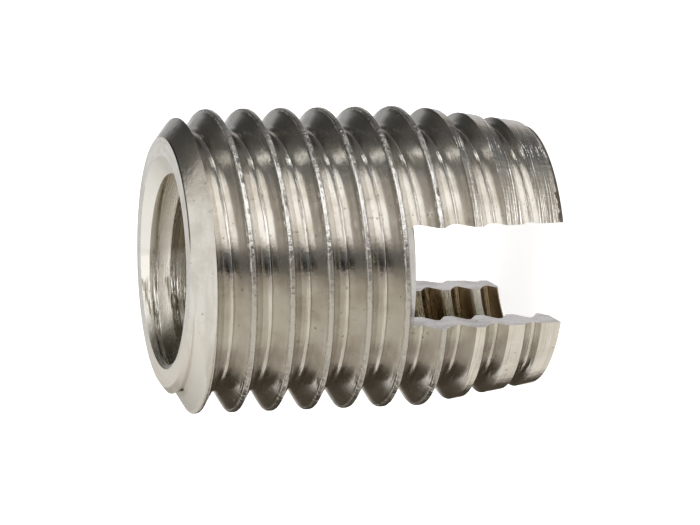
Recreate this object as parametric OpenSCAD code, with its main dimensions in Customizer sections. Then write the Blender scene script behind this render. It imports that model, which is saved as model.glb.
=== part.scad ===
// Self-tapping threaded insert: a steel bush with a coarse thread outside, a
// machine-screw thread inside, and a slot across the end that cuts its way in.
// It stands on the slotted end, with the head face up at z = length.

/* [Body] */
// Overall length
length = 14.7; // [12:0.1:18]
// Diameter over the crests of the outside thread
outer_d = 11.82; // [11.2:0.02:13.4]

/* [Outside thread] */
// Distance between crests
pitch = 1.5; // [1.25:0.05:1.75]
// Depth from crest to root
thread_depth = 0.86; // [0.6:0.01:0.95]
// Width of the flat along each crest
crest_w = 0.15; // [0.1:0.01:0.3]
// Slope of each flank, from a plane square to the axis
flank_angle = 32; // [25:1:36]
// Angle about the axis at which a crest reaches the head face
thread_start = 81; // [0:1:359]

/* [Bore] */
// Inside diameter, at the crests of the inside thread
bore_d = 6.9; // [5.6:0.05:7.6]
// Diameter of the countersink at the head face
mouth_d = 8.3; // [7.8:0.05:8.8]
// Diameter of the countersink at the slotted end
tail_d = 7.8; // [7.7:0.05:8.6]
// Included angle of both countersinks
sink_angle = 120; // [80:5:130]

/* [Ends] */
// Outside diameter of the flat head face
face_d = 9.72; // [9.2:0.02:10.6]
// Slope of the head chamfer, from the axis
head_angle = 52; // [40:1:60]
// Outside diameter at the slotted end
lead_d = 10.4; // [9.4:0.02:10.9]
// Slope of the lead-in cone, from the axis
lead_angle = 8.7; // [6:0.1:20]

/* [Slot] */
// Width of the slot, across X
slot_w = 3.9; // [3:0.1:4.8]
// Depth of the slot, up from the end
slot_depth = 6; // [4:0.1:8]

/* [Hidden] */
past = 1;                               // how far a cut runs past a surface
outer_r = outer_d/2;
head_len = (outer_r - face_d/2)/tan(head_angle);
lead_len = (outer_r - lead_d/2)/tan(lead_angle);

// The ribs of the thread stand this far proud of the turned blank, which
// trims them to round crests.
proud = min(0.12, 0.3*crest_w/tan(flank_angle));
steps = 48;                             // flats in one turn of the thread
rib_r = outer_r + proud;
root_r = outer_r - thread_depth;
rib_half = crest_w/2 - proud*tan(flank_angle);
foot_half = crest_w/2 + thread_depth*tan(flank_angle);

// One pitch of the thread's outline, as [radius, height from the crest].
outline = [
    [root_r, -foot_half], [rib_r, -rib_half],
    [rib_r, rib_half], [root_r, foot_half]
];
sides = len(outline);
turns = ceil(length/pitch) + 3;
first_z = length - (turns - 1)*pitch - thread_start/360*pitch;

// The outline is carried up a helix in steps. Point i of the helix belongs
// to step i, and a full turn later it sits one pitch higher.
function rib_point(step, side) =
    let (a = 360*step/steps, p = outline[side])
    [p[0]*cos(a), p[0]*sin(a), first_z + p[1] + pitch*step/steps];
count = steps*turns;
rib_points = [for (i = [0 : count], s = [0 : sides - 1]) rib_point(i, s)];

function at(step, side) = step*sides + side;
walls = [for (i = [0 : count - 1], s = [0 : sides - 2], face = [0, 1])
    face == 0 ? [at(i, s), at(i, s + 1), at(i + 1, s)]
              : [at(i + 1, s), at(i, s + 1), at(i + 1, s + 1)]];
roots = [for (i = [0 : count - steps - 1], face = [0, 1])
    face == 0 ? [at(i, sides - 1), at(i + steps, 0), at(i + 1, sides - 1)]
              : [at(i + 1, sides - 1), at(i + steps, 0), at(i + steps + 1, 0)]];

// Each end closes on a point of the axis, beyond the ends of the blank.
low = len(rib_points);
high = low + 1;
ends = [[0, 0, first_z - 2*pitch], [0, 0, first_z + (turns + 2)*pitch]];
low_rim = concat([for (i = [0 : steps]) at(i, 0)],
    [for (s = [sides - 1 : -1 : 0]) at(0, s)]);
high_rim = concat([for (i = [count : -1 : count - steps]) at(i, sides - 1)],
    [for (s = [0 : sides - 1]) at(count, s)]);
caps = concat(
    [for (i = [0 : len(low_rim) - 2]) [low, low_rim[i], low_rim[i + 1]]],
    [for (i = [0 : len(high_rim) - 2]) [high, high_rim[i], high_rim[i + 1]]]);

module threaded_rod()
    polyhedron(concat(rib_points, ends), concat(walls, roots, caps));

module blank()
    rotate_extrude($fn = 96) polygon([
        [0, 0], [lead_d/2, 0], [outer_r, lead_len],
        [outer_r, length - head_len], [face_d/2, length], [0, length]
    ]);

// Cone that opens from the bore to a countersink of diameter d, at z = 0.
module countersink(d) {
    depth = (d - bore_d)/2/tan(sink_angle/2);
    slope = tan(sink_angle/2);
    translate([0, 0, -past])
        cylinder(depth + past, d/2 + past*slope, bore_d/2, $fn = 96);
}

module threaded_insert() color([0.72, 0.7, 0.66]) difference() {
    intersection() {
        blank();
        threaded_rod();
    }
    translate([0, 0, -past]) cylinder(length + 2*past, d = bore_d, $fn = 96);
    countersink(tail_d);
    translate([0, 0, length]) mirror([0, 0, 1]) countersink(mouth_d);
    translate([-slot_w/2, -outer_d, -past])
        cube([slot_w, 2*outer_d, slot_depth + past]);
}

threaded_insert();
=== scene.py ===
import math

import bmesh
import bpy
from mathutils import Matrix, Vector


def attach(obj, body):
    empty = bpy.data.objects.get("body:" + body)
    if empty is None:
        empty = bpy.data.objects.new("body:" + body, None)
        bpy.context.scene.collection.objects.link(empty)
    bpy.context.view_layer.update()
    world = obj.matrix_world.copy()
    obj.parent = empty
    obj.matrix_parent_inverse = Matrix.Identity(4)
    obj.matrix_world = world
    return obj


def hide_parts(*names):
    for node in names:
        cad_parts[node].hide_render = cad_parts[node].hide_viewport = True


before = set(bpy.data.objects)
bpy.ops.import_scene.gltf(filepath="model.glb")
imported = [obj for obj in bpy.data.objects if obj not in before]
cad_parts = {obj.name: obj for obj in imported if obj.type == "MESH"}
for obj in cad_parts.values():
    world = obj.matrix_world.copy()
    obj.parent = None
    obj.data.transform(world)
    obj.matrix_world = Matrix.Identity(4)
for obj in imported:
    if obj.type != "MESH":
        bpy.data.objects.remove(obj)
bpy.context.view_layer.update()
mm = 0.001


def feed(tree, socket, value):
    # a socket or a plain number can go into any input
    if isinstance(value, bpy.types.NodeSocket):
        tree.links.new(value, socket)
    elif value is not None:
        socket.default_value = value


def put(tree, kind, inputs=None, **settings):
    node = tree.nodes.new(kind)
    for name, value in settings.items():
        setattr(node, name, value)
    for name, value in (inputs or {}).items():
        feed(tree, node.inputs[name], value)
    return node


def calc(tree, operation, *values):
    node = put(tree, "ShaderNodeMath", operation=operation)
    for i, value in enumerate(values):
        feed(tree, node.inputs[i], value)
    return node.outputs[0]


def spread(tree, value, low, high, outLow=0.0, outHigh=1.0, smooth=True):
    node = put(tree, "ShaderNodeMapRange", interpolation_type="SMOOTHSTEP" if smooth else "LINEAR")
    for i, v in enumerate((value, low, high, outLow, outHigh)):
        feed(tree, node.inputs[i], v)
    return node.outputs[0]


def within(tree, value, low, high, edge):
    rise = spread(tree, value, low - edge, low + edge)
    return calc(tree, "MULTIPLY", rise, spread(tree, value, high + edge, high - edge))


def split(tree, vector):
    return put(tree, "ShaderNodeSeparateXYZ", {0: vector}).outputs


def join(tree, x, y, z):
    return put(tree, "ShaderNodeCombineXYZ", {0: x, 1: y, 2: z}).outputs[0]


def newTree(name, kind, inputs, outputs):
    tree = bpy.data.node_groups.new(name, kind)
    for label, form, value in inputs:
        socket = tree.interface.new_socket(label, in_out="INPUT", socket_type="NodeSocket" + form)
        if value is not None:
            socket.default_value = value
    for label, form in outputs:
        tree.interface.new_socket(label, in_out="OUTPUT", socket_type="NodeSocket" + form)
    return tree, tree.nodes.new("NodeGroupInput").outputs, tree.nodes.new("NodeGroupOutput").inputs


def useGroup(tree, group, inputs):
    kind = "GeometryNodeGroup" if tree.bl_idname == "GeometryNodeTree" else "ShaderNodeGroup"
    node = put(tree, kind, node_tree=group)
    for name, value in inputs.items():
        feed(tree, node.inputs[name], value)
    return node


view = {  # the insert lies on its side, with its head face to the left
    "target": (-0.2, -0.082, 7.2),  # mm
    "azimuth": 9.76,  # degrees, as the next two
    "elevation": 15.09,
    "roll": -91.62,
    "distance": 145.8,  # mm
    "lens": 190.9,
    "sensor": 36,
    "clip": (0.005, 20),  # metres
}


def axesOfView():
    azimuth, elevation = math.radians(view["azimuth"]), math.radians(view["elevation"])
    back = Vector((math.sin(azimuth) * math.cos(elevation),
                   -math.cos(azimuth) * math.cos(elevation), math.sin(elevation)))
    level = Vector((0, 0, 1)).cross(back).normalized()
    turn = Matrix.Rotation(math.radians(view["roll"]), 3, back)
    return turn @ level, turn @ back.cross(level), back


def makeCamera():
    right, up, back = axesOfView()
    data = bpy.data.cameras.new("camera")
    data.lens = view["lens"]
    data.sensor_width = view["sensor"]
    data.clip_start, data.clip_end = view["clip"]
    camera = bpy.data.objects.new("camera", data)
    place = (Vector(view["target"]) + back * view["distance"]) * mm
    camera.matrix_world = Matrix.Translation(place) @ Matrix((right, up, back)).transposed().to_4x4()
    bpy.context.collection.objects.link(camera)
    bpy.context.scene.camera = camera


makeCamera()
print("camera set", view["distance"], "mm away")

insert = {  # mm and degrees
    "Length": 14.7,
    "Crest Radius": 5.91,
    "Thread Depth": 0.86,
    "Crest Width": 0.15,
    "Flank Angle": 32,
    "Pitch": 1.5,
    "Thread Start": 81,
    "Root Hollow": 0.48,     # rounding on the slot side; the head side of the root is sharp
    "Crest Rounding": 0.035,
    "Bore Radius": 3.45,
    "Bore Groove Radius": 4.12,
    "Bore Pitch": 1.25,
    "Bore Start": 269,
    "Mouth Radius": 4.15,
    "Tail Radius": 3.9,
    "Countersink Angle": 120,
    "Face Radius": 4.86,
    "Head Angle": 52,
    "Lead Radius": 5.2,
    "Lead Angle": 8.7,
    "Slot Width": 3.9,
    "Slot Depth": 6.0,
    "Crest Nicks": 0.015,
    "Edge Break": 0.03,
    "Steps": 360,
    "Bore Steps": 120,
}
mergeDistance = 1e-7
sharpAngle = math.radians(24)
grooveShape = {"overlap": 0.1 * mm, "crestHalf": 0.08 * mm, "flank": math.radians(30), "rounding": 0.03 * mm}


def outlineCurve(tree, points, roundings, counts):
    index = put(tree, "GeometryNodeInputIndex").outputs[0]

    def pick(values, form="FLOAT"):
        node = put(tree, "GeometryNodeIndexSwitch", data_type=form)
        for _ in range(len(values) - 2):
            node.index_switch_items.new()
        feed(tree, node.inputs[0], index)
        for i, value in enumerate(values):
            feed(tree, node.inputs[i + 1], value)
        return node.outputs[0]

    line = put(tree, "GeometryNodeMeshLine", {"Count": len(points)}).outputs[0]
    place = join(tree, pick([p[0] for p in points]), 0.0, pick([p[1] for p in points]))
    line = put(tree, "GeometryNodeSetPosition", {"Geometry": line, "Position": place}).outputs[0]
    curve = put(tree, "GeometryNodeMeshToCurve", {"Mesh": line}).outputs[0]
    return put(tree, "GeometryNodeFilletCurve",
               {"Curve": curve, "Count": pick(counts, "INT"), "Radius": pick(roundings), "Limit Radius": True},
               mode="POLY").outputs[0]


def makeSweepGroup():
    tree, given, result = newTree("sweepRoundAxis", "GeometryNodeTree", [
        ("Outline", "Geometry", None), ("Steps", "Int", 96), ("Turns", "Int", 1),
        ("Rise", "Float", 0.0), ("Bottom", "Float", 0.0), ("Start", "Float", 0.0),
        ("Low Tip", "Float", 0.0), ("High Tip", "Float", 0.0),
        ("Nicks", "Float", 0.0), ("Crest", "Float", 1.0)], [("Mesh", "Geometry")])
    size = put(tree, "GeometryNodeAttributeDomainSize", {0: given["Outline"]}, component="CURVE")
    across = size.outputs["Point Count"]
    along = calc(tree, "MULTIPLY", given["Steps"], given["Turns"])
    grid = put(tree, "GeometryNodeMeshGrid",
               {"Vertices X": calc(tree, "ADD", along, 1), "Vertices Y": across}).outputs["Mesh"]
    index = put(tree, "GeometryNodeInputIndex").outputs[0]
    step = calc(tree, "FLOOR", calc(tree, "DIVIDE", calc(tree, "ADD", index, 0.5), across))
    point = calc(tree, "SUBTRACT", index, calc(tree, "MULTIPLY", step, across))
    sample = put(tree, "GeometryNodeSampleIndex",
                 {"Geometry": given["Outline"], "Index": point}, data_type="FLOAT_VECTOR")
    feed(tree, sample.inputs["Value"], put(tree, "GeometryNodeInputPosition").outputs[0])
    outline = split(tree, sample.outputs[0])
    turned = calc(tree, "DIVIDE", step, given["Steps"])
    angle = calc(tree, "MULTIPLY_ADD", turned, math.tau, given["Start"])
    height = calc(tree, "ADD", calc(tree, "MULTIPLY_ADD", turned, given["Rise"], given["Bottom"]), outline[2])
    # small nicks along the crests, the same on every run
    nickLength = 6 * mm
    spot = join(tree, calc(tree, "COSINE", angle), calc(tree, "SINE", angle),
                calc(tree, "DIVIDE", height, nickLength))
    dent = put(tree, "ShaderNodeTexNoise",
               {"Vector": spot, "Scale": 34.0, "Detail": 1.0, "Roughness": 0.6}).outputs[0]
    dent = calc(tree, "MULTIPLY", spread(tree, dent, 0.5, 0.75, smooth=False), given["Nicks"])
    dent = calc(tree, "MULTIPLY", dent, calc(tree, "GREATER_THAN", outline[0], given["Crest"]))
    radius = calc(tree, "SUBTRACT", outline[0], dent)
    place = join(tree, calc(tree, "MULTIPLY", radius, calc(tree, "COSINE", angle)),
                 calc(tree, "MULTIPLY", radius, calc(tree, "SINE", angle)), height)
    wall = put(tree, "GeometryNodeSetPosition", {"Geometry": grid, "Position": place}).outputs[0]
    wall = put(tree, "GeometryNodeMergeByDistance", {"Geometry": wall, "Distance": mergeDistance}).outputs[0]
    # the two open rims of a helix close on a point of the axis
    rim = put(tree, "FunctionNodeCompare",
              {"A": put(tree, "GeometryNodeInputMeshEdgeNeighbors").outputs[0], "B": 1.0},
              data_type="FLOAT", operation="EQUAL").outputs[0]
    fan = put(tree, "GeometryNodeExtrudeMesh", {"Mesh": wall, "Selection": rim, "Offset Scale": 0.0},
              mode="EDGES")
    middle = calc(tree, "MULTIPLY", calc(tree, "ADD", given["Low Tip"], given["High Tip"]), 0.5)
    position = put(tree, "GeometryNodeInputPosition").outputs[0]
    upper = calc(tree, "GREATER_THAN", split(tree, position)[2], middle)
    tip = calc(tree, "MULTIPLY_ADD", upper,
               calc(tree, "SUBTRACT", given["High Tip"], given["Low Tip"]), given["Low Tip"])
    closed = put(tree, "GeometryNodeSetPosition",
                 {"Geometry": fan.outputs["Mesh"], "Selection": fan.outputs["Top"],
                  "Position": join(tree, 0.0, 0.0, tip)}).outputs[0]
    closed = put(tree, "GeometryNodeMergeByDistance",
                 {"Geometry": closed, "Distance": mergeDistance}).outputs[0]
    feed(tree, result["Mesh"], closed)
    return tree


def insertSizes():
    # the same sizes in metres and radians, and whole numbers for the steps
    sizes = {}
    for name, value in insert.items():
        if "Steps" in name:
            sizes[name] = value
        else:
            sizes[name] = math.radians(value) if "Angle" in name or "Start" in name else value * mm
    return sizes


def makeInsertTree(finishes):
    named = [(name, "Int" if "Steps" in name else "Float", value)
             for name, value in insertSizes().items()]
    tree, given, result = newTree("threadedInsert", "GeometryNodeTree",
                                  [("Geometry", "Geometry", None)] + named, [("Geometry", "Geometry")])
    sweep = makeSweepGroup()

    def less(a, b):
        return calc(tree, "SUBTRACT", a, b)

    def more(a, b):
        return calc(tree, "ADD", a, b)

    def times(a, b):
        return calc(tree, "MULTIPLY", a, b)

    def over(a, b):
        return calc(tree, "DIVIDE", a, b)

    def tangent(a):
        return calc(tree, "TANGENT", a)

    def screw(low, high, crestHalf, flank, pitch, start, steps, hollow, hollowSteps, roundHigh, top, nicks):
        # low and high are the radii of the root and crest; a crest meets z = top at the start angle
        foot = more(crestHalf, times(less(high, low), tangent(flank)))
        drop, margin = 0.07 * mm, 0.03 * mm
        shoulder, shoulderHalf = less(high, drop), more(crestHalf, times(tangent(flank), drop))
        points = [(low, less(foot, pitch)), (low, times(foot, -1)), (shoulder, times(shoulderHalf, -1)),
                  (high, times(crestHalf, -1)), (high, crestHalf), (shoulder, shoulderHalf), (low, foot)]
        outline = outlineCurve(tree, points, [0.0, hollow, 0.0, roundHigh, roundHigh, 0.0, 0.0],
                               [1, hollowSteps, 1, 1, 1, 1, 1])
        turns = more(calc(tree, "CEIL", over(top, pitch)), 4)
        bottom = less(less(top, times(less(turns, 2), pitch)), times(over(start, math.tau), pitch))
        return useGroup(tree, sweep, {
            "Outline": outline, "Steps": steps, "Turns": turns, "Rise": pitch, "Bottom": bottom,
            "Nicks": nicks, "Crest": less(high, margin),
            "Low Tip": less(bottom, times(pitch, 2)),
            "High Tip": more(more(bottom, times(turns, pitch)), times(pitch, 2))}).outputs[0]

    def lathe(points, steps, rounding=None):
        # rounding breaks the edges of the two ends
        ends = () if rounding is None else (1, len(points) - 2)
        outline = outlineCurve(tree, points, [rounding if i in ends else 0.0 for i in range(len(points))],
                               [2 if i in ends else 1 for i in range(len(points))])
        return useGroup(tree, sweep, {"Outline": outline, "Steps": steps, "Turns": 1}).outputs[0]

    def toMark(mesh, label):
        node = put(tree, "GeometryNodeStoreNamedAttribute", {"Geometry": mesh, "Name": "cutBy", "Value": label},
                   data_type="INT", domain="FACE")
        return node.outputs[0]

    length, crest = given["Length"], given["Crest Radius"]
    beyond, hollowSteps = 1 * mm, 8

    # outside: a threaded rod, trimmed by a turned blank with a head chamfer and a lead cone
    rod = screw(less(crest, given["Thread Depth"]), crest, times(given["Crest Width"], 0.5),
                given["Flank Angle"], given["Pitch"], given["Thread Start"], given["Steps"],
                given["Root Hollow"], hollowSteps, given["Crest Rounding"], length, given["Crest Nicks"])
    wide = more(crest, 0.2 * mm)
    blank = lathe([
        (0.0, 0.0), (given["Lead Radius"], 0.0),
        (wide, over(less(wide, given["Lead Radius"]), tangent(given["Lead Angle"]))),
        (wide, less(length, over(less(wide, given["Face Radius"]), tangent(given["Head Angle"])))),
        (given["Face Radius"], length), (0.0, length)], given["Steps"], given["Edge Break"])
    body = put(tree, "GeometryNodeMeshBoolean", operation="INTERSECT", solver="MANIFOLD")
    feed(tree, body.inputs[1], toMark(rod, 0))
    feed(tree, body.inputs[1], toMark(blank, 1))

    # inside: the bore with its countersinks, the groove of the inside thread, and the slot
    slope = tangent(times(given["Countersink Angle"], 0.5))
    boreRadius = given["Bore Radius"]

    def sinkDepth(radius):
        return over(less(radius, boreRadius), slope)

    reach = times(slope, beyond)
    bore = lathe([
        (0.0, -beyond), (more(given["Tail Radius"], reach), -beyond),
        (boreRadius, sinkDepth(given["Tail Radius"])),
        (boreRadius, less(length, sinkDepth(given["Mouth Radius"]))),
        (more(given["Mouth Radius"], reach), more(length, beyond)), (0.0, more(length, beyond))],
        given["Bore Steps"])
    groove = screw(less(boreRadius, grooveShape["overlap"]), given["Bore Groove Radius"],
                   grooveShape["crestHalf"], grooveShape["flank"], given["Bore Pitch"],
                   given["Bore Start"], given["Bore Steps"], 0.0, 1, grooveShape["rounding"], length, 0.0)
    slotSize = join(tree, given["Slot Width"], times(crest, 3), more(given["Slot Depth"], beyond))
    slot = put(tree, "GeometryNodeMeshCube", {"Size": slotSize}).outputs["Mesh"]
    slot = put(tree, "GeometryNodeTransform", {
        "Geometry": slot,
        "Translation": join(tree, 0.0, 0.0, times(less(given["Slot Depth"], beyond), 0.5))}).outputs[0]
    cut = put(tree, "GeometryNodeMeshBoolean", operation="DIFFERENCE", solver="MANIFOLD")
    feed(tree, cut.inputs[0], body.outputs[0])
    for tool, label in ((bore, 2), (groove, 2), (slot, 3)):
        feed(tree, cut.inputs[1], toMark(tool, label))

    # smooth over the fine steps, sharp at the cut edges
    shape = put(tree, "GeometryNodeSetShadeSmooth",
                {"Geometry": cut.outputs[0], "Shade Smooth": True}, domain="FACE").outputs[0]
    steep = calc(tree, "GREATER_THAN", put(tree, "GeometryNodeInputMeshEdgeAngle").outputs[0], sharpAngle)
    shape = put(tree, "GeometryNodeSetShadeSmooth",
                {"Geometry": shape, "Selection": steep, "Shade Smooth": False}, domain="EDGE").outputs[0]
    shape = put(tree, "GeometryNodeRealizeInstances", {"Geometry": shape}).outputs[0]
    label = put(tree, "GeometryNodeInputNamedAttribute", {"Name": "cutBy"}, data_type="INT").outputs[0]
    for i, finish in enumerate(finishes):
        chosen = put(tree, "FunctionNodeCompare", data_type="INT", operation="EQUAL")
        feed(tree, chosen.inputs[2], label)
        feed(tree, chosen.inputs[3], i)
        shape = put(tree, "GeometryNodeSetMaterial",
                    {"Geometry": shape, "Selection": chosen.outputs[0], "Material": finish}).outputs[0]
    feed(tree, result["Geometry"], shape)
    return tree


def inMillimetres(tree, vector, stretch=1.0):
    # stretch under 1 draws a pattern out along the axis
    scale = (1 / mm, 1 / mm, stretch / mm)
    return put(tree, "ShaderNodeVectorMath", {0: vector, 1: scale}, operation="MULTIPLY").outputs[0]


def makeMarksGroup():
    # marks of a cutting edge that goes round the axis; with Twist 1 they climb with the thread
    tree, given, result = newTree("cuttingMarks", "ShaderNodeTree", [
        ("Vector", "Vector", None), ("Pitch", "Float", 1.5), ("Twist", "Float", 1.0),
        ("Fineness", "Float", 20.0), ("Break", "Float", 4.0)],
        [("Lines", "Float"), ("Patches", "Float"), ("Radius", "Float"), ("Turn", "Float"),
         ("Climb", "Float"), ("Height", "Float")])
    vector = inMillimetres(tree, given["Vector"])
    x, y, z = split(tree, vector)
    radius = calc(tree, "SQRT", calc(tree, "ADD", calc(tree, "MULTIPLY", x, x), calc(tree, "MULTIPLY", y, y)))
    turned = calc(tree, "DIVIDE", calc(tree, "ARCTAN2", y, x), math.tau)
    climb = calc(tree, "MULTIPLY", calc(tree, "MULTIPLY", turned, given["Pitch"]), given["Twist"])
    climbed = calc(tree, "SUBTRACT", z, climb)
    across = calc(tree, "ADD", radius, calc(tree, "WRAP", climbed, given["Pitch"], 0.0))
    roundX, roundY = calc(tree, "DIVIDE", x, radius), calc(tree, "DIVIDE", y, radius)
    along = join(tree, calc(tree, "MULTIPLY", roundX, given["Break"]),
                 calc(tree, "MULTIPLY", roundY, given["Break"]), calc(tree, "MULTIPLY", z, 0.35))
    fine = put(tree, "ShaderNodeTexNoise", {
        "Vector": along, "W": calc(tree, "MULTIPLY", across, given["Fineness"]),
        "Scale": 1.0, "Detail": 2.0, "Roughness": 0.6}, noise_dimensions="4D").outputs[0]
    coarseness = calc(tree, "MULTIPLY", given["Fineness"], 0.27)
    coarse = put(tree, "ShaderNodeTexNoise", {
        "Vector": along, "W": calc(tree, "MULTIPLY", across, coarseness),
        "Scale": 0.6, "Detail": 1.0}, noise_dimensions="4D").outputs[0]
    lines = calc(tree, "ADD", calc(tree, "MULTIPLY", fine, 0.5), calc(tree, "MULTIPLY", coarse, 0.5))
    feed(tree, result["Lines"], lines)
    feed(tree, result["Patches"], put(tree, "ShaderNodeTexNoise", {
        "Vector": vector, "Scale": 0.9, "Detail": 4.0, "Roughness": 0.6}).outputs[0])
    feed(tree, result["Radius"], radius)
    feed(tree, result["Turn"], turned)
    feed(tree, result["Climb"], climbed)
    feed(tree, result["Height"], z)
    return tree


def makeWearGroup():
    # specks of dirt, small pits and faint handling scratches
    tree, given, result = newTree("handling", "ShaderNodeTree", [
        ("Vector", "Vector", None), ("Specks", "Float", 0.5), ("Scratches", "Float", 0.5)],
        [("Specks", "Float"), ("Scratches", "Float"), ("Pits", "Float")])
    vector = inMillimetres(tree, given["Vector"])
    dots = put(tree, "ShaderNodeTexVoronoi", {"Vector": vector, "Scale": 2.2, "Randomness": 1.0}).outputs[0]
    broken = put(tree, "ShaderNodeTexNoise", {"Vector": vector, "Scale": 9.0, "Detail": 3.0}).outputs[0]
    dots = calc(tree, "ADD", dots, calc(tree, "MULTIPLY", broken, 0.22))
    feed(tree, result["Specks"], calc(tree, "MULTIPLY", spread(tree, dots, 0.26, 0.16), given["Specks"]))
    bent = put(tree, "ShaderNodeTexNoise", {"Vector": vector, "Scale": 0.7, "Detail": 1.0}).outputs[1]
    bent = put(tree, "ShaderNodeVectorMath", {0: vector, 1: bent}, operation="ADD").outputs[0]
    thin = put(tree, "ShaderNodeTexVoronoi",
               {"Vector": bent, "Scale": 0.55}, feature="DISTANCE_TO_EDGE").outputs[0]
    feed(tree, result["Scratches"], calc(tree, "MULTIPLY", spread(tree, thin, 0.012, 0.0), given["Scratches"]))
    feed(tree, result["Pits"], put(tree, "ShaderNodeTexNoise", {
        "Vector": vector, "Scale": 5.0, "Detail": 3.0, "Roughness": 0.55}).outputs[0])
    return tree


zones = {  # turns round the axis from +X, mm from the axis, or mm up from the slotted end
    "tornTurns": (-0.2, 0.2),
    "tornRadius": (4.95, 5.05),
    "crestRadius": (5.78, 5.86),
    "flankRadius": (5.2, 5.74),
    "firstFlank": (14.34, 14.40),  # mm up, measured along the climbing thread
    "firstFlankFade": (0.36, 0.48),
    "burrTurns": (-0.446, -0.43),
    "burrHeight": (14.29, 14.42),
    "faceLineRadius": (4.85, 4.91),
    "faceLineTurns": (-0.205, -0.03),
    "faceLineHeight": (14.5, 14.6),
    "leadHeight": (6.5, 5.0),
    "wornTurns": ((-0.07, -0.095), (-0.42, -0.15)),
    "satinTurns": ((-0.26, -0.38), (0.32, 0.48)),
    "satinHeight": (13.0, 13.4),
    "upperTurns": ((-0.18, -0.08), (0.27, 0.25)),
    "deepHeight": (12.5, 7.5),
    "sinkHeight": (14.0, 14.2),
    "streakHeight": (11.5, 13.5),
    "lowDarkTurns": ((0.36, 0.42), (-0.42, -0.46)),
    "lowDarkHeight": (11.5, 12.5),
    "tailHeight": (2.2, 1.2),
    "paintedLightMouthFlank": (-0.43, -0.07),  # mm along one pitch of the inside thread, as the next two
    "greyFlank": (-0.2, 0.2),
    "grooveHighlight": (0.08, 0.2),
}


def makeTornGroup():
    # torn metal along the slotted end's rim
    tree, given, result = newTree("tornRim", "ShaderNodeTree", [
        ("Vector", "Vector", None), ("Radius", "Float", 5.0), ("Turn", "Float", 0.0), ("Height", "Float", 0.0)],
        [("Mask", "Float")])
    ragged = put(tree, "ShaderNodeTexNoise",
                 {"Vector": given["Vector"], "Scale": 4.5 / mm, "Detail": 2.0}).outputs[0]
    mask = spread(tree, calc(tree, "MULTIPLY_ADD", ragged, -0.42, given["Height"]), -0.02, -0.08)
    mask = calc(tree, "MULTIPLY", mask, within(tree, given["Turn"], *zones["tornTurns"], 0.02))
    mask = calc(tree, "MULTIPLY", mask, spread(tree, given["Radius"], *zones["tornRadius"]))
    feed(tree, result["Mask"], mask)
    return tree


marksGroup = makeMarksGroup()
wearGroup = makeWearGroup()
tornGroup = makeTornGroup()

steel = {
    "colour": (0.68, 0.66, 0.625),
    "stain": (0.50, 0.46, 0.40),
    # real dirt in the specks and the torn rim, painted shade in the burr spot and the face line
    "dirtAndShade": (0.10, 0.08, 0.06),
    "toolLine": (0.42, 0.38, 0.33),
    "crest": (0.54, 0.525, 0.50),
    # painted reflection: the lighter tint of the first flank
    "firstFlank": (0.78, 0.76, 0.72),
    "wornLead": (0.86, 0.84, 0.80),
    # painted light: the lighter tint on the satin side of the chamfer and face
    "satinPaintedLight": (0.78, 0.75, 0.70),
    "slot": (0.84, 0.83, 0.83),
}
boreColours = {
    "metal": (0.94, 0.92, 0.87),
    "upper": (0.62, 0.56, 0.46),
    # painted light: the lighter flanks facing the mouth
    "paintedLightMouthFlank": (0.97, 0.94, 0.88),
    # painted light: the countersink on the satin side is lighter
    "sink": (0.87, 0.86, 0.83),
    "streak": (0.30, 0.28, 0.22),
    "lowDark": (0.17, 0.15, 0.11),
    # partly oil residue, partly painted shade
    "deep": (0.26, 0.19, 0.11),
    # painted light on the grey flanks deep inside
    "litDeepFlank": (0.76, 0.74, 0.65),
    # painted highlight in the groove
    "grooveHighlight": (0.92, 0.89, 0.80),
}


def blend(tree, factor, first, second):
    node = put(tree, "ShaderNodeMix", data_type="RGBA")
    for i, value in ((0, factor), (6, first), (7, second)):
        feed(tree, node.inputs[i], (*value, 1) if isinstance(value, tuple) else value)
    return node.outputs[2]


def addTo(tree, base, mask, amount):
    return calc(tree, "MULTIPLY_ADD", mask, amount, base)


def overlap(tree, first, second):
    return calc(tree, "MULTIPLY", first, second)


def roundAxis(tree, marks, zone, operation):
    # two ramps round the axis, joined by the operation
    return calc(tree, operation, *(spread(tree, marks["Turn"], *ramp) for ramp in zones[zone]))


def steelFinish(name, colour, roughness, lines, pits, pitch=100.0, twist=0.0, fineness=14.0, breaks=4.0,
                stain=0.5, specks=0.5, scratches=0.15, extra=None):
    material = bpy.data.materials.new(name)
    material.use_nodes = True
    tree = material.node_tree
    shader = tree.nodes["Principled BSDF"]
    shader.inputs["Metallic"].default_value = 1
    vector = put(tree, "ShaderNodeTexCoord").outputs["Object"]
    marks = useGroup(tree, marksGroup, {"Vector": vector, "Pitch": pitch, "Twist": twist,
                                        "Fineness": fineness, "Break": breaks}).outputs
    wear = useGroup(tree, wearGroup, {"Vector": vector, "Specks": specks, "Scratches": scratches}).outputs
    stained = calc(tree, "MULTIPLY", spread(tree, marks["Patches"], 0.42, 0.68), stain)
    tint = blend(tree, stained, colour, steel["stain"])
    tint = blend(tree, wear["Specks"], tint, steel["dirtAndShade"])
    height = addTo(tree, calc(tree, "MULTIPLY", wear["Pits"], pits), marks["Lines"], lines)
    height = addTo(tree, height, wear["Scratches"], -0.4)
    rough = addTo(tree, roughness, calc(tree, "SUBTRACT", marks["Lines"], 0.5), 0.25)
    rough = addTo(tree, rough, stained, 0.12)
    rough = addTo(tree, rough, wear["Specks"], 0.3)
    if extra:
        tint, rough, height = extra(tree, vector, marks, tint, rough, height)
    feed(tree, shader.inputs["Base Color"], tint)
    feed(tree, shader.inputs["Roughness"], rough)
    bump = put(tree, "ShaderNodeBump", {"Strength": 1.0, "Distance": 0.01 * mm, "Height": height})
    feed(tree, shader.inputs["Normal"], bump.outputs[0])
    return material


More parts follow.
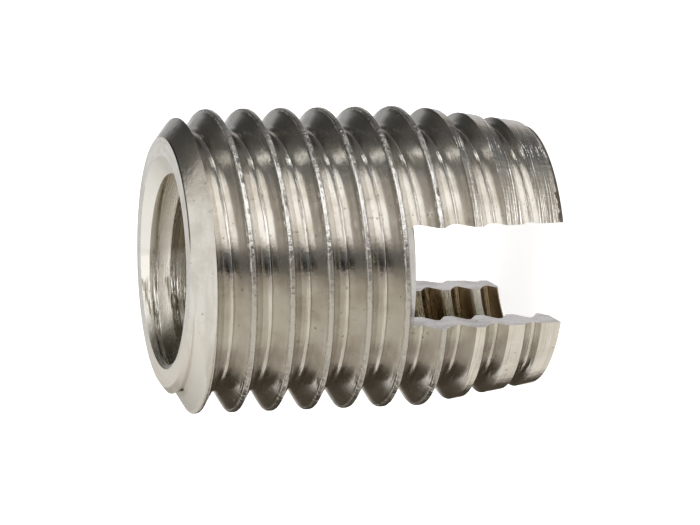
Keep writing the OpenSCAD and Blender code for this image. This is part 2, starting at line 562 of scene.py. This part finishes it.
def tearRim(tree, vector, marks, tint, rough):
    torn = useGroup(tree, tornGroup, {"Vector": vector, "Radius": marks["Radius"], "Turn": marks["Turn"],
                                      "Height": marks["Height"]}).outputs[0]
    feed(tree, tree.nodes["Principled BSDF"].inputs["Metallic"], calc(tree, "SUBTRACT", 1.0, torn))
    return blend(tree, torn, tint, steel["dirtAndShade"]), addTo(tree, rough, torn, 0.4)


def threadTouches(tree, vector, marks, tint, rough, height):
    # sparkling nicks on the crests
    crest = spread(tree, marks["Radius"], *zones["crestRadius"])
    grit = put(tree, "ShaderNodeTexNoise", {"Vector": vector, "Scale": 5.0 / mm, "Detail": 2.0}).outputs[0]
    height = addTo(tree, height, overlap(tree, crest, grit), 3.0)
    flank = within(tree, marks["Radius"], *zones["flankRadius"], 0.06)
    rough = addTo(tree, rough, flank, 0.05)
    height = calc(tree, "MULTIPLY", height, addTo(tree, 1.0, flank, -0.5))
    # a satin first flank beside the chamfer, rougher and lighter in tint, the lighter tint being a painted
    # reflection; and its fade on the far side, so that no seam shows
    first = spread(tree, marks["Climb"], *zones["firstFlank"])
    onward = spread(tree, marks["Climb"], *(edge - insert["Pitch"] for edge in zones["firstFlank"]))
    onward = overlap(tree, onward, spread(tree, marks["Turn"], *zones["firstFlankFade"]))
    first = calc(tree, "MAXIMUM", first, onward)
    rough = addTo(tree, rough, first, 0.42)
    rough = addTo(tree, rough, crest, 0.14)
    tint = blend(tree, crest, tint, steel["crest"])
    # painted reflection: the first flank is tinted lighter here
    tint = blend(tree, first, tint, steel["firstFlank"])
    # painted shade: a small dark spot stands in for the notch of a burr where the chamfer runs into the thread
    burrShade = overlap(tree, within(tree, marks["Turn"], *zones["burrTurns"], 0.004),
                   within(tree, marks["Height"], *zones["burrHeight"], 0.02))
    tint = blend(tree, burrShade, tint, steel["dirtAndShade"])
    tint, rough = tearRim(tree, vector, marks, tint, rough)
    return tint, rough, height


def turnedTouches(tree, vector, marks, tint, rough, height):
    # painted shade: a dark line where the chamfer meets the face, standing in for the shaded edge there
    line = within(tree, marks["Radius"], *zones["faceLineRadius"], 0.015)
    line = overlap(tree, line, within(tree, marks["Turn"], *zones["faceLineTurns"], 0.015))
    line = overlap(tree, line, spread(tree, marks["Height"], *zones["faceLineHeight"]))
    # scratches and worn metal along the lead
    rubbed = put(tree, "ShaderNodeTexNoise", {
        "Vector": inMillimetres(tree, vector, 0.12), "Scale": 6.0, "Detail": 2.0}).outputs[0]
    lead = spread(tree, marks["Height"], *zones["leadHeight"])
    height = addTo(tree, height, overlap(tree, lead, rubbed), 1.2)
    worn = roundAxis(tree, marks, "wornTurns", "MULTIPLY")
    tint = blend(tree, overlap(tree, lead, worn), tint, steel["wornLead"])
    rough = addTo(tree, rough, lead, -0.05)
    # a satin side to the chamfer and face: rougher, and lighter in tint, which is painted light
    satinPaintedLight = roundAxis(tree, marks, "satinTurns", "MAXIMUM")
    satinPaintedLight = overlap(tree, satinPaintedLight, spread(tree, marks["Height"], *zones["satinHeight"]))
    rough = addTo(tree, rough, satinPaintedLight, 0.4)
    tint = blend(tree, satinPaintedLight, tint, steel["satinPaintedLight"])
    dark = calc(tree, "MULTIPLY", spread(tree, marks["Lines"], 0.52, 0.40), 0.3)
    tint = blend(tree, dark, tint, steel["toolLine"])
    tint, rough = tearRim(tree, vector, marks, tint, rough)
    # painted shade: the dark line at the face's edge is blended in here
    return blend(tree, line, tint, steel["dirtAndShade"]), rough, height


def boreTouches(tree, vector, marks, tint, rough, height):
    # one side is satin, with painted light on its countersink and on the flanks facing the mouth; the other is
    # streaked by the tool and darker at the bottom
    upper = roundAxis(tree, marks, "upperTurns", "MULTIPLY")
    lower = calc(tree, "SUBTRACT", 1.0, upper)
    deep = spread(tree, marks["Height"], *zones["deepHeight"])
    shallow = calc(tree, "SUBTRACT", 1.0, deep)
    sink = overlap(tree, upper, spread(tree, marks["Height"], *zones["sinkHeight"]))
    half = insert["Bore Pitch"] / 2
    thread = calc(tree, "WRAP", marks["Climb"], half, -half)
    litMouthFlank = overlap(tree, within(tree, thread, *zones["paintedLightMouthFlank"], 0.05), shallow)
    height = calc(tree, "MULTIPLY", height, addTo(tree, 1.0, upper, -0.75))
    rough = addTo(tree, rough, sink, 0.3)
    tint = blend(tree, overlap(tree, upper, shallow), tint, boreColours["upper"])
    streaked = overlap(tree, lower, spread(tree, marks["Lines"], 0.46, 0.40))
    streaked = overlap(tree, streaked, spread(tree, marks["Height"], *zones["streakHeight"]))
    # painted light: the flanks facing the mouth are tinted lighter
    tint = blend(tree, calc(tree, "MULTIPLY", litMouthFlank, 0.9), tint, boreColours["paintedLightMouthFlank"])
    # painted light: the countersink on the satin side is tinted lighter
    tint = blend(tree, sink, tint, boreColours["sink"])
    tint = blend(tree, streaked, tint, boreColours["streak"])
    # darker on part of the lower side, towards the mouth
    lowDarkMask = calc(tree, "MULTIPLY", roundAxis(tree, marks, "lowDarkTurns", "MAXIMUM"), 0.85)
    lowDarkMask = overlap(tree, lowDarkMask, spread(tree, marks["Height"], *zones["lowDarkHeight"]))
    tint = blend(tree, lowDarkMask, tint, boreColours["lowDark"])
    dull = overlap(tree, litMouthFlank, calc(tree, "SUBTRACT", 1.0, calc(tree, "MAXIMUM", sink, lowDarkMask)))
    feed(tree, tree.nodes["Principled BSDF"].inputs["Metallic"], addTo(tree, 1.0, dull, -0.5))
    rough = addTo(tree, rough, deep, -0.14)
    rough = addTo(tree, rough, spread(tree, marks["Height"], *zones["tailHeight"]), 0.28)
    # deep inside it is brown, partly oil residue and partly painted shade, with grey flanks that are painted
    # light and a lighter line in the groove that is a painted highlight
    shifted = calc(tree, "WRAP", calc(tree, "ADD", marks["Climb"], 0.6), half, -half)
    depth = blend(tree, within(tree, shifted, *zones["greyFlank"], 0.05),
                  boreColours["deep"], boreColours["litDeepFlank"])
    depth = blend(tree, within(tree, thread, *zones["grooveHighlight"], 0.02), depth, boreColours["grooveHighlight"])
    return blend(tree, deep, tint, depth), rough, height


finishes = [
    steelFinish("threadSteel", steel["colour"], roughness=0.12, lines=2.8, pits=0.6,
                pitch=insert["Pitch"], twist=1.0, fineness=9.0, extra=threadTouches),
    steelFinish("turnedSteel", steel["colour"], roughness=0.18, lines=4.5, pits=0.8,
                fineness=11.0, breaks=2.2, extra=turnedTouches),
    steelFinish("boreSteel", boreColours["metal"], roughness=0.26, lines=6.0, pits=1.0,
                pitch=insert["Bore Pitch"], twist=1.0, fineness=12.0, extra=boreTouches),
    steelFinish("slotSteel", steel["slot"], roughness=0.26, lines=1.0, pits=0.8, fineness=12.0),
]
print("finishes made:", ", ".join(finish.name for finish in finishes))


def makeInsert():
    carrier = bpy.data.objects.new("carrier", bpy.data.meshes.new("carrier"))
    bpy.context.collection.objects.link(carrier)
    grow = carrier.modifiers.new("grow", "NODES")
    grow.node_group = makeInsertTree(finishes)
    sizes = insertSizes()
    for item in grow.node_group.interface.items_tree:
        if item.in_out == "INPUT" and item.name in sizes:
            grow[item.identifier] = sizes[item.name]
    grown = carrier.evaluated_get(bpy.context.evaluated_depsgraph_get())
    made = bpy.data.meshes.new_from_object(grown)
    bpy.data.objects.remove(carrier)
    made.name = "insert"
    made.attributes.remove(made.attributes["cutBy"])
    # only the finishes stay as material slots
    used = [made.materials[face.material_index] for face in made.polygons]
    made.materials.clear()
    for finish in finishes:
        made.materials.append(finish)
    made.polygons.foreach_set("material_index", [finishes.index(finish) for finish in used])
    piece = bpy.data.objects.new("threadedInsert", made)
    bpy.context.collection.objects.link(piece)
    work = bmesh.new()
    work.from_mesh(made)
    loose = sum(1 for edge in work.edges if len(edge.link_faces) != 2)
    triangles, volume = sum(len(face.verts) - 2 for face in work.faces), work.calc_volume() / mm ** 3
    print("insert made:", triangles, "triangles,", loose, "open edges,", round(volume, 1), "mm3")
    work.free()
    return piece


piece = makeInsert()
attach(piece, "root")
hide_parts("threaded_insert")


studio = {  # what the steel mirrors, in degrees from the insert: azimuth to the right, elevation up
    "base": (0.56, 0.51, 0.45),
    "panels": [
        {"aim": (0, 80), "half": (180, 20), "soft": 6, "level": 0.22, "tint": (1, 1, 0.98)},
        {"aim": (-84, -7), "half": (50, 31), "soft": 10, "level": 1.02, "tint": (1.01, 1, 0.96)},
        {"aim": (0, -52), "half": (75, 30), "soft": 8, "level": 0.86, "tint": (1.05, 1, 0.88)},
        {"aim": (120, -46), "half": (45, 20), "soft": 10, "level": 0.9, "tint": (1.05, 1, 0.9)},
        {"aim": (92, 36), "half": (26, 24), "soft": 8, "level": 0.25, "tint": (1.04, 1, 0.92)},
        {"aim": (150, 55), "half": (50, 15), "soft": 5, "level": 0.13, "tint": (1, 1, 1)},
        {"aim": (-4, 71), "half": (58, 10), "soft": 4, "level": 1.5, "tint": (1, 1, 1)},
        {"aim": (-9, 41), "half": (50, 27), "soft": 9, "level": 2.05, "tint": (1, 1, 1)},
        {"aim": (24, -1), "half": (44, 9), "soft": 4, "level": 0.14, "tint": (0.98, 1, 1.04)},
        {"aim": (14, -7), "half": (26, 5), "soft": 2, "level": 0.0, "tint": (1, 1, 1)},
        {"aim": (-118, 38), "half": (14, 20), "soft": 5, "level": 0.09, "tint": (1, 1, 0.95)},
        {"aim": (-143, 36), "half": (19, 26), "soft": 4, "level": 0.05, "tint": (1, 1, 0.9)},
        {"aim": (174, 18), "half": (34, 16), "soft": 3, "level": 0.62, "tint": (1.02, 1, 1)},
        {"aim": (-160, 18), "half": (10, 14), "soft": 3, "level": 0.42, "tint": (1, 1, 1)},
        {"aim": (-166, -38), "half": (30, 30), "soft": 6, "level": 0.05, "tint": (1.25, 1, 0.7)},
        {"aim": (180, 1), "half": (50, 9), "soft": 1.5, "level": 0.8, "tint": (1.01, 1, 0.98)},
        {"aim": (136, 74.5), "half": (14, 3), "soft": 1, "level": 4.0, "tint": (1, 1, 0.97)},
    ],
}


def makePanelGroup():
    # mask of a soft-edged panel far away: angles in degrees
    tree, given, result = newTree("softPanel", "ShaderNodeTree", [
        ("Azimuth", "Float", 0.0), ("Elevation", "Float", 0.0), ("Middle Azimuth", "Float", 0.0),
        ("Middle Elevation", "Float", 0.0), ("Half Width", "Float", 10.0), ("Half Height", "Float", 10.0),
        ("Softness", "Float", 3.0)], [("Mask", "Float")])
    masks = []
    for angle, middle, half in (("Azimuth", "Middle Azimuth", "Half Width"),
                                ("Elevation", "Middle Elevation", "Half Height")):
        off = calc(tree, "SUBTRACT", given[angle], given[middle])
        off = calc(tree, "ABSOLUTE", calc(tree, "WRAP", off, 180.0, -180.0))
        masks.append(spread(tree, off, calc(tree, "ADD", given[half], given["Softness"]),
                            calc(tree, "SUBTRACT", given[half], given["Softness"])))
    feed(tree, result["Mask"], calc(tree, "MULTIPLY", *masks))
    return tree


def makeWorld():
    world = bpy.data.worlds.new("studio")
    bpy.context.scene.world = world
    world.use_nodes = True
    tree = world.node_tree
    tree.nodes.clear()
    direction = put(tree, "ShaderNodeTexCoord").outputs["Generated"]
    across, above, towards = (put(tree, "ShaderNodeVectorMath", {0: direction, 1: tuple(axis)},
                                  operation="DOT_PRODUCT").outputs["Value"] for axis in axesOfView())
    azimuth = calc(tree, "MULTIPLY", calc(tree, "ARCTAN2", across, towards), math.degrees(1))
    elevation = calc(tree, "MULTIPLY", calc(tree, "ARCSINE", above), math.degrees(1))
    panel = makePanelGroup()
    colour = studio["base"]
    for item in studio["panels"]:
        mask = useGroup(tree, panel, {
            "Azimuth": azimuth, "Elevation": elevation,
            "Middle Azimuth": item["aim"][0], "Middle Elevation": item["aim"][1],
            "Half Width": item["half"][0], "Half Height": item["half"][1],
            "Softness": item["soft"]}).outputs[0]
        colour = blend(tree, mask, colour, tuple(item["level"] * part for part in item["tint"]))
    lit = put(tree, "ShaderNodeBackground", {"Color": colour, "Strength": 1.0}).outputs[0]
    white = put(tree, "ShaderNodeBackground", {"Color": (1, 1, 1, 1), "Strength": 1.0}).outputs[0]
    seen = put(tree, "ShaderNodeLightPath").outputs["Is Camera Ray"]
    both = put(tree, "ShaderNodeMixShader", {0: seen, 1: lit, 2: white}).outputs[0]
    put(tree, "ShaderNodeOutputWorld", {"Surface": both})


floor = {"size": 1.2, "colour": (0.8, 0.8, 0.8), "lift": 0.8}  # metres; lift whitens what the camera sees


def makeFloor():
    mesh = bpy.data.meshes.new("floor")
    work = bmesh.new()
    bmesh.ops.create_grid(work, x_segments=1, y_segments=1, size=floor["size"] / 2)
    work.to_mesh(mesh)
    work.free()
    ground = bpy.data.objects.new("floor", mesh)
    bpy.context.collection.objects.link(ground)
    material = bpy.data.materials.new("paleFloor")
    material.use_nodes = True
    tree = material.node_tree
    tree.nodes.clear()
    paint = put(tree, "ShaderNodeBsdfDiffuse", {"Color": (*floor["colour"], 1)}).outputs[0]
    seen = put(tree, "ShaderNodeLightPath").outputs["Is Camera Ray"]
    lift = calc(tree, "MULTIPLY", seen, floor["lift"])
    glow = put(tree, "ShaderNodeEmission", {"Color": (1, 1, 1, 1), "Strength": lift}).outputs[0]
    both = put(tree, "ShaderNodeAddShader", {0: paint, 1: glow}).outputs[0]
    # clear from below, so that the slotted end can be looked at
    under = put(tree, "ShaderNodeNewGeometry").outputs["Backfacing"]
    clear = put(tree, "ShaderNodeBsdfTransparent").outputs[0]
    both = put(tree, "ShaderNodeMixShader", {0: under, 1: both, 2: clear}).outputs[0]
    put(tree, "ShaderNodeOutputMaterial", {"Surface": both})
    mesh.materials.append(material)
    ground.visible_glossy = False  # the steel mirrors the studio instead


makeWorld()
makeFloor()
print("studio lit by", len(studio["panels"]), "panels")
bpy.context.scene.view_settings.view_transform = "Standard"
